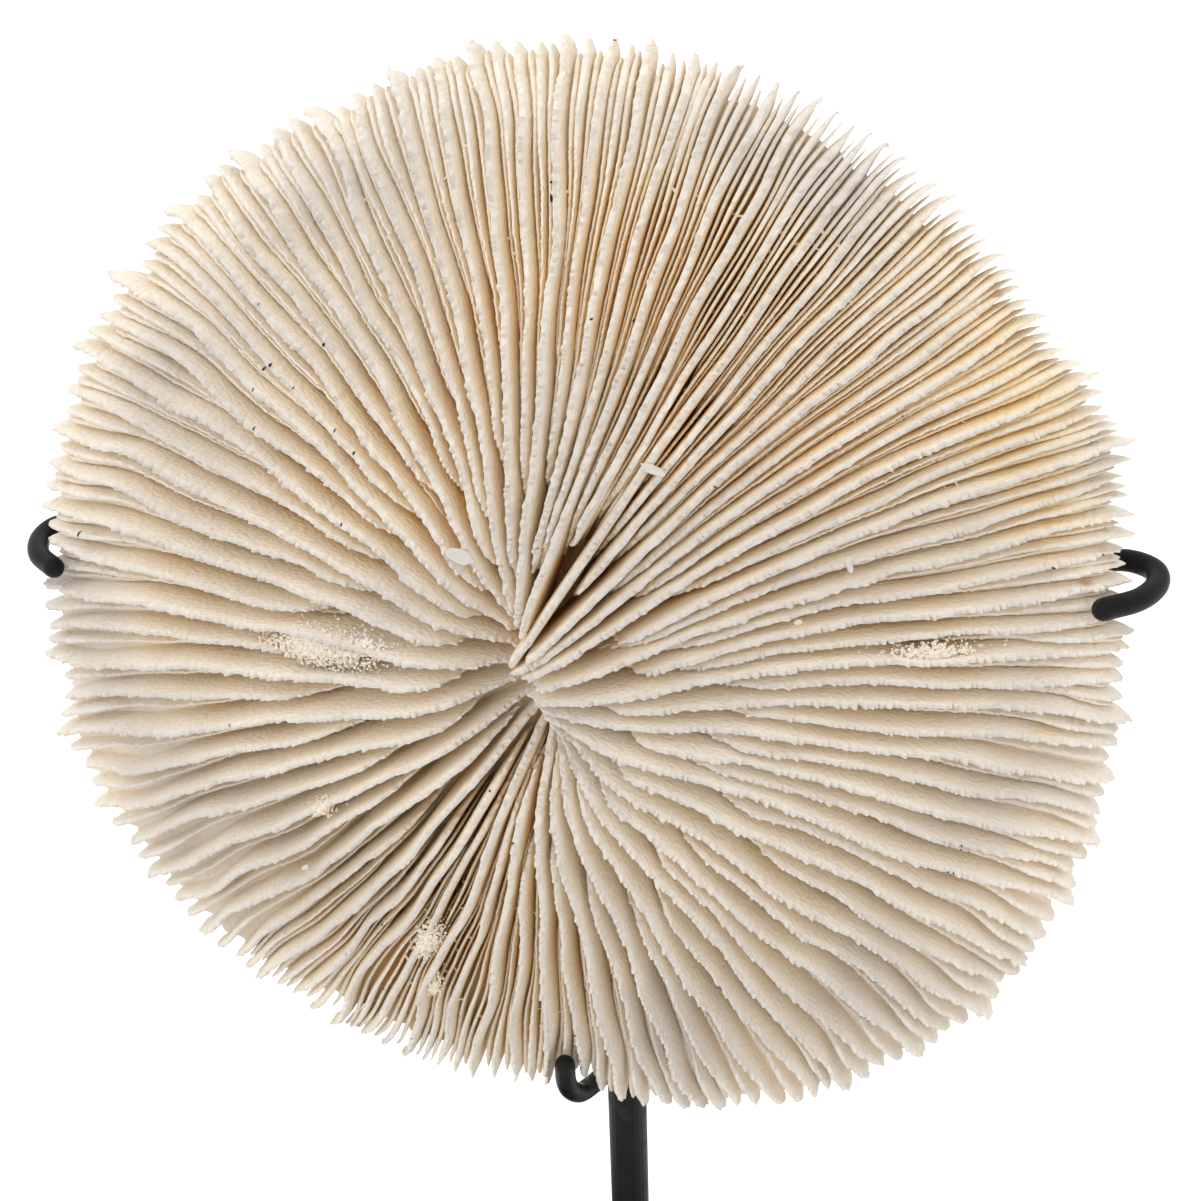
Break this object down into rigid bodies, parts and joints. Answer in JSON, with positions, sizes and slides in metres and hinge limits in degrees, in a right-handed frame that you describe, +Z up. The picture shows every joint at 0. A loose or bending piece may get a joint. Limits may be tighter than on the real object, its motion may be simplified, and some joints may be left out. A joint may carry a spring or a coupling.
{
  "type": "mushroom coral",
  "caption": "Low domed mushroom coral skeleton with ridges running from a slit mouth to a toothed rim, held upright by bent wires on a black rod and base plate.",
  "frame": {"origin": "middle of the object's bounding box in plan, at the level of the surface that the base plate stands on", "axes": "+Z up along the rod, the coral's ridged face looks towards -Y, +X to the viewer's right"},
  "size_m": [0.1674, 0.086, 0.2499],
  "materials": {
    "coral_skeleton": "matte",
    "black_stand": "satin"
  },
  "bodies": {
    "root": {"coral": "coral_skeleton", "rod": "black_stand", "left_arm": "black_stand", "right_arm": "black_stand", "bottom_hook": "black_stand", "base": "black_stand"}
  },
  "joints": []
}
